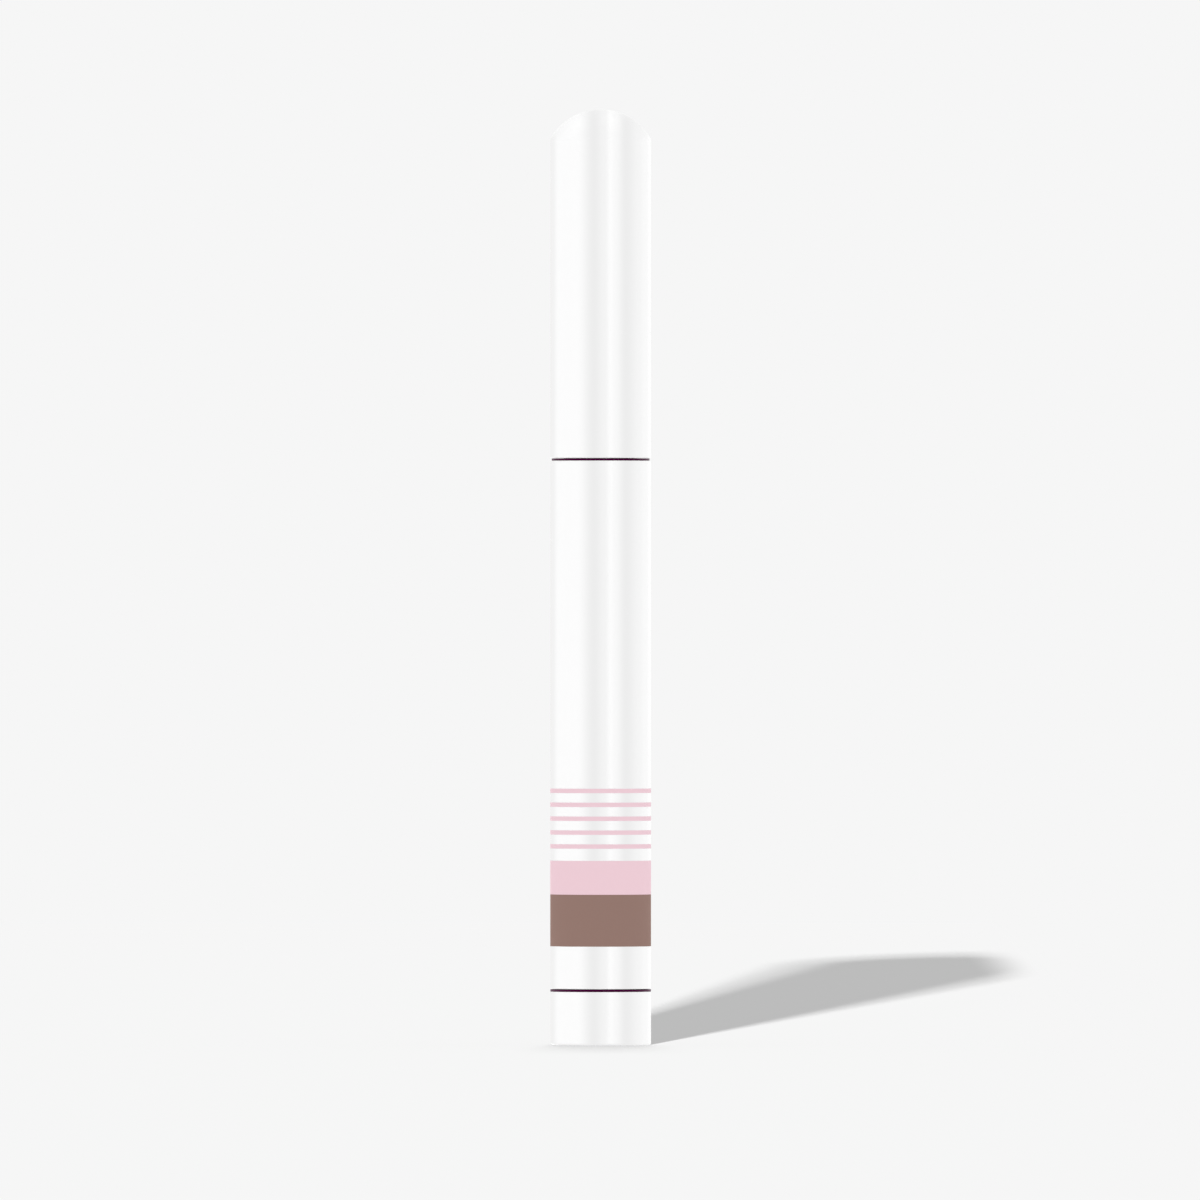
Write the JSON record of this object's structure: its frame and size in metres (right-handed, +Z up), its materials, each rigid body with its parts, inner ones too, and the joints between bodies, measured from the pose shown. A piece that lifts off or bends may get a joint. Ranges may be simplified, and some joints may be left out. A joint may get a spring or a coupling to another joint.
{
  "type": "nail oil pen",
  "caption": "Slim twist-up cuticle oil pen with a domed pull-off cap over a brush nozzle, and a knob at the foot that screws a piston up the oil chamber.",
  "frame": {"origin": "centre of the base that the pen stands on", "axes": "+Z up the pen's axis, from the knob to the cap's domed end"},
  "size_m": [0.014, 0.014, 0.13],
  "materials": {
    "gloss_white": "moulded, polished",
    "plum_trim": "moulded, dark plum",
    "brown_ink": "screen printed, flat",
    "pink_ink": "screen printed, flat",
    "natural_plastic": "natural, slightly milky",
    "acetal": "moulded, satin",
    "seal_rubber": "soft, matt",
    "bristle": "fine filament"
  },
  "bodies": {
    "pen_barrel": {"barrel": "gloss_white", "upper_trim_ring": "plum_trim", "brown_print_band": "brown_ink", "pink_print_bands": "pink_ink", "nozzle": "natural_plastic", "nozzle_seal_ring": "seal_rubber", "tuft_retainer": "acetal", "feed_tube": "natural_plastic", "brush_tuft": "bristle", "drive_nut": "acetal", "ratchet_ring": "acetal", "bearing_bush": "acetal"},
    "pull_cap": {"cap_shell": "gloss_white", "cap_liner": "natural_plastic", "cap_seal": "seal_rubber"},
    "turning_foot": {"knob": "gloss_white", "lower_trim_ring": "plum_trim", "drive_sleeve": "acetal", "click_spring": "acetal"},
    "feed_screw": {"lead_screw": "acetal"},
    "oil_piston": {"piston": "natural_plastic", "piston_seal_ring": "seal_rubber"}
  },
  "joints": [
    {"name": "cap_pull", "type": "slide", "parent": "pen_barrel", "child": "pull_cap", "axis": [0, 0, 1], "range_m": [0, 0.045]},
    {"name": "knob_turn", "type": "hinge", "parent": "pen_barrel", "child": "turning_foot", "pos_m": [0, 0, 0.0074], "axis": [0, 0, 1], "range_deg": [0, 5400]},
    {"name": "screw_feed", "type": "slide", "parent": "turning_foot", "child": "feed_screw", "axis": [0, 0, 1], "range_m": [0, 0.03]},
    {"name": "piston_feed", "type": "slide", "parent": "pen_barrel", "child": "oil_piston", "axis": [0, 0, 1], "range_m": [0, 0.03]}
  ],
  "couplings": [
    {"joint": "screw_feed", "follows": "knob_turn", "m_per_rad": 0.00031831},
    {"joint": "piston_feed", "follows": "knob_turn", "m_per_rad": 0.00031831}
  ]
}
